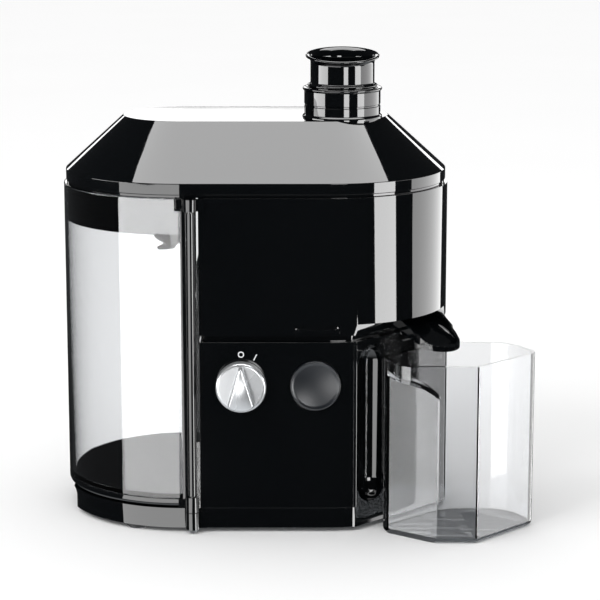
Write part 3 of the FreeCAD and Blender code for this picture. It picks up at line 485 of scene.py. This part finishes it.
def make_knob_grip():
    sections = [(0.0, -88.0), (-0.4, -94.6), (-0.9, -95.8), (-1.5, -96.2)]
    verts, faces = loft([pointer_loop(grow, y) for grow, y in sections])
    piece("knob_grip", verts, faces, "silver", "knob", ["knob_pointer"], bevel=0.3, limit=40.0)


def make_button():
    """A disc with a rolled edge and a shallow dish in its face."""
    r, dish = DIAL_R, 0.92 / 140.0
    profile = [(0.05, -77.8), (r - 0.6, -77.8), (r, -78.4), (r, -81.4), (r - 0.25, -81.85), (r - 0.7, -82.0),
               (r - 1.2, -81.85)]
    rings = (r - 1.6, 13.0, 11.0, 9.0, 7.0, 5.0, 3.0, 1.5, 0.05)
    profile += [(ring, -81.8 + (r ** 2 - ring ** 2) * dish) for ring in rings]
    verts, faces = loft(turn_y(profile, *BUTTON, 128))
    piece("round_button", verts, faces, "satin_black", "button", ["release_button"], limit=60.0)


make_knob_disc()
make_knob_grip()
make_button()


# ---- studio -----------------------------------------------------------------------------------
CARD_DISTANCE = 1.6      # the upright cards stand this far from the body, in metres
ROOM = 1.25              # brightness of the white room
CARD_LOW, CARD_HIGH = -0.6, 1.6


def only_reflected(nodes, links, otherwise, reflected, target):
    """Shows one shader after a reflection, and the other before any."""
    path = nodes.new("ShaderNodeLightPath")
    capped = nodes.new("ShaderNodeMath")
    capped.operation = "MINIMUM"
    capped.inputs[1].default_value = 1.0
    mix = nodes.new("ShaderNodeMixShader")
    links.new(path.outputs["Glossy Depth"], capped.inputs[0])
    links.new(capped.outputs["Value"], mix.inputs["Fac"])
    links.new(otherwise, mix.inputs[1])
    links.new(reflected, mix.inputs[2])
    links.new(mix.outputs["Shader"], target)
    return path


def aim(obj, place, first, last):
    """Puts an object at place, with its +Z along the line from first to last."""
    obj.location = place
    obj.rotation_mode = "QUATERNION"
    obj.rotation_quaternion = (Vector(last) - Vector(first)).to_track_quat("Z", "Y")


def card(name, centre, size, facing, strength, through=False):
    """A studio card that only shiny surfaces see, also through clear parts if through is set."""
    mesh = bpy.data.meshes.new(name)
    w, h = size[0] / 2, size[1] / 2
    mesh.from_pydata([(-w, -h, 0), (w, -h, 0), (w, h, 0), (-w, h, 0)], [], [(0, 1, 2, 3)])
    obj = linked(name, mesh)
    aim(obj, centre, centre, facing)
    mat = bpy.data.materials.new(name)
    mat.use_nodes = True
    nodes, links = mat.node_tree.nodes, mat.node_tree.links
    nodes.clear()
    glow = nodes.new("ShaderNodeEmission")
    glow.inputs["Strength"].default_value = strength
    out = nodes.new("ShaderNodeOutputMaterial")
    only_reflected(nodes, links, nodes.new("ShaderNodeBsdfTransparent").outputs["BSDF"],
                   glow.outputs["Emission"], out.inputs["Surface"])
    mesh.materials.append(mat)
    obj.visible_camera = False
    obj.visible_diffuse = False
    obj.visible_transmission = through
    obj.visible_shadow = False


def around(azimuth, distance, height):
    """A place at an angle to the right of straight in front, round the body."""
    a = math.radians(azimuth)
    return (math.sin(a) * distance, -math.cos(a) * distance, height)


def upright_card(name, first, last, strength, low=CARD_LOW, high=CARD_HIGH, through=False):
    """A card that fills the reflection between two azimuths."""
    width = 2 * CARD_DISTANCE * math.tan(math.radians(abs(last - first) / 2))
    middle = (low + high) / 2
    place = around((first + last) / 2, CARD_DISTANCE, middle)
    card(name, place, (width, high - low), (0.0, 0.0, middle), strength, through)


def make_cards():
    """One card for each reflection on the body, the lid's slope and the chute."""
    top, floor_line, above = 0.5, 0.0, 0.02    # the body sees what is low, and the chute what is above
    card("overhead", (0.02, 0.0, 1.25), (1.25, 1.0), (0.02, 0.0, 0.2), 8.5)
    upright_card("right_strip", 46, 68, 14.0, high=top)
    upright_card("right_far", 88, 140, 4.5, high=top)
    upright_card("left_wide", -63.5, -6, 6.0, high=floor_line, through=True)
    upright_card("left_high", -96, -54, 12.0, low=above, high=top)
    upright_card("front_high", 5, 20, 14.0, low=above, high=top)
    upright_card("right_high", 68, 88, 4.5, low=above, high=top)
    # the lid's flat top mirrors the backdrop, whose lower edge leaves the top's back edge dark
    behind, middle = 2.2, 0.7685
    card("backdrop", (0.0, behind, middle), (0.9, 0.5), (0.0, 0.0, middle), 2.6)
    for azimuth, strength in ((-156, 4.0), (156, 5.0)):
        card("rear_streak", around(azimuth, behind, 0.72), (0.16, 0.5), (0.0, 0.0, 0.72), strength)


def make_floor():
    """A pale floor that shiny surfaces don't see."""
    half, low, high = 8.0, (0.94, 0.94, 0.94), (0.96, 0.96, 0.96)
    mesh = bpy.data.meshes.new("floor")
    mesh.from_pydata([(-half, -half, 0), (half, -half, 0), (half, half, 0), (-half, half, 0)], [],
                     [(0, 1, 2, 3)])
    floor = linked("floor", mesh)
    mat, nodes, links, shader = new_material("floor")
    shader.inputs["Roughness"].default_value = 0.9
    shader.inputs["Specular IOR Level"].default_value = 0.0
    links.new(blend(nodes, links, noise(nodes, links, 3.0), low, high), shader.inputs["Base Color"])
    out = next(n for n in nodes if n.type == "OUTPUT_MATERIAL")
    only_reflected(nodes, links, shader.outputs["BSDF"],
                   nodes.new("ShaderNodeBsdfTransparent").outputs["BSDF"], out.inputs["Surface"])
    mesh.materials.append(mat)
    floor.visible_glossy = False


def make_world():
    """A white room for matt surfaces, and a dark one with a pale floor for reflections."""
    world = bpy.data.worlds.new("studio")
    bpy.context.scene.world = world
    world.use_nodes = True
    nodes, links = world.node_tree.nodes, world.node_tree.links
    nodes.clear()
    bright = nodes.new("ShaderNodeBackground")
    dark = nodes.new("ShaderNodeBackground")
    dark.inputs["Color"].default_value = (0.92, 0.96, 1.0, 1.0)
    heading = nodes.new("ShaderNodeTexCoord")
    split = nodes.new("ShaderNodeSeparateXYZ")
    links.new(heading.outputs["Generated"], split.inputs["Vector"])
    # the pale floor close to the object shows in its lower edges
    links.new(ramp(nodes, links, split.outputs["Z"], -0.42, -0.75, 0.03, 1.6), dark.inputs["Strength"])
    out = nodes.new("ShaderNodeOutputWorld")
    path = only_reflected(nodes, links, bright.outputs["Background"], dark.outputs["Background"],
                          out.inputs["Surface"])
    # clear parts see a white sweep behind them and a dark room in front
    seen_through = nodes.new("ShaderNodeMix")
    seen_through.inputs["A"].default_value = ROOM
    links.new(path.outputs["Is Transmission Ray"], seen_through.inputs["Factor"])
    links.new(ramp(nodes, links, split.outputs["Y"], -0.1, 0.35, 0.03, 1.05), seen_through.inputs["B"])
    links.new(seen_through.outputs["Result"], bright.inputs["Strength"])


def make_key_lamp():
    """A soft lamp from the front left, which leaves no reflection."""
    place, target = (-1.3, -1.3, 1.6), (0.0, 0.0, 0.12)
    data = bpy.data.lights.new("key", "AREA")
    data.shape = "SQUARE"
    data.size = 0.9
    data.energy = 16.0
    lamp = linked("key", data)
    aim(lamp, place, target, place)
    lamp.visible_camera = False
    lamp.visible_transmission = False
    lamp.visible_glossy = False


def make_camera():
    """Front view from slightly above, with a focal length given in image widths."""
    focal, width = 2260.6 / 600.0, 36.0
    data = bpy.data.cameras.new("camera")
    data.sensor_width = width
    data.lens = focal * width
    data.clip_end = 50.0
    camera = linked("camera", data)
    camera.location = at(29.07, -1474.0, 441.6)
    camera.rotation_euler = (math.radians(90.0 - 11.717), 0.0, 0.0)
    bpy.context.scene.camera = camera


make_cards()
make_floor()
make_world()
make_key_lamp()
bpy.context.scene.view_settings.view_transform = "Standard"
bpy.context.scene.view_settings.look = "None"
make_camera()
